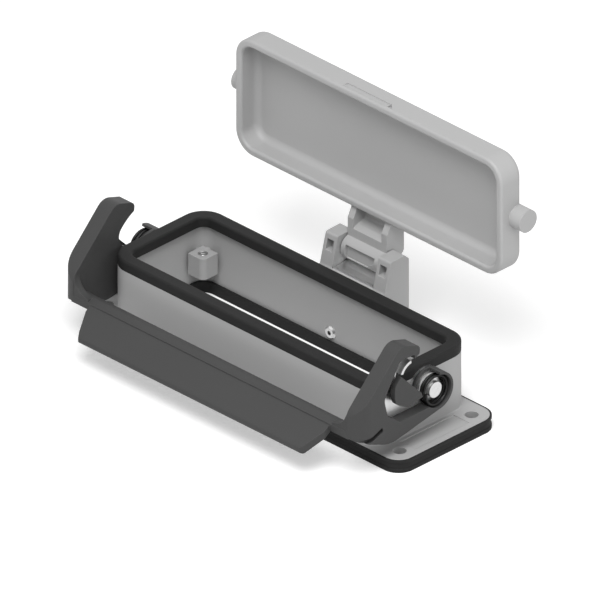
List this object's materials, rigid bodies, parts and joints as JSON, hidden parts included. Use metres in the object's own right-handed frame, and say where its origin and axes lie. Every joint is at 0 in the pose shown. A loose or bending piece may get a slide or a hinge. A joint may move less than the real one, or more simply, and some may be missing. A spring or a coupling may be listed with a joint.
{
  "type": "panel-mounting rectangular connector housing",
  "caption": "Rectangular metal connector housing for panel mounting, with a hooked locking lever over pegs, rubber gaskets and a hinged protective cover that stands open.",
  "frame": {"origin": "centre of the mounting face, under the flange gasket, in the middle of the four mounting holes", "axes": "+X along the housing, -Y towards the locking lever, +Y towards the hinge of the cover, +Z away from the panel"},
  "size_m": [0.1422, 0.0909, 0.0846],
  "materials": {
    "cast_aluminium": "fine powder coat on die-cast aluminium, satin",
    "cover_aluminium": "fine powder coat on die-cast aluminium, satin",
    "black_rubber": "matt moulded nitrile rubber",
    "dark_plastic": "finely textured glass-filled plastic",
    "stainless_steel": "bright stainless steel",
    "spring_steel": "dark oiled spring wire"
  },
  "bodies": {
    "base": {"housing": "cast_aluminium", "rim_gasket": "black_rubber", "flange_gasket": "black_rubber", "hinge_bracket": "cast_aluminium", "hinge_pin": "stainless_steel", "bracket_rivet": "stainless_steel", "cover_spring": "stainless_steel", "pivot_stud_left": "stainless_steel", "pivot_stud_right": "stainless_steel", "pivot_washer_left": "stainless_steel", "pivot_washer_right": "stainless_steel"},
    "lever": {"locking_lever": "dark_plastic", "lever_plate_left": "stainless_steel", "lever_plate_right": "stainless_steel", "lever_spring_left": "spring_steel", "lever_spring_right": "spring_steel"},
    "cover": {"cover": "cover_aluminium"}
  },
  "joints": [
    {"name": "lever_swing", "type": "hinge", "parent": "base", "child": "lever", "pos_m": [0, 0, 0.02], "axis": [-1, 0, 0], "range_deg": [0, 47]},
    {"name": "cover_swing", "type": "hinge", "parent": "base", "child": "cover", "pos_m": [0, 0.03545, 0.0282], "axis": [1, 0, 0], "range_deg": [0, 90]}
  ]
}
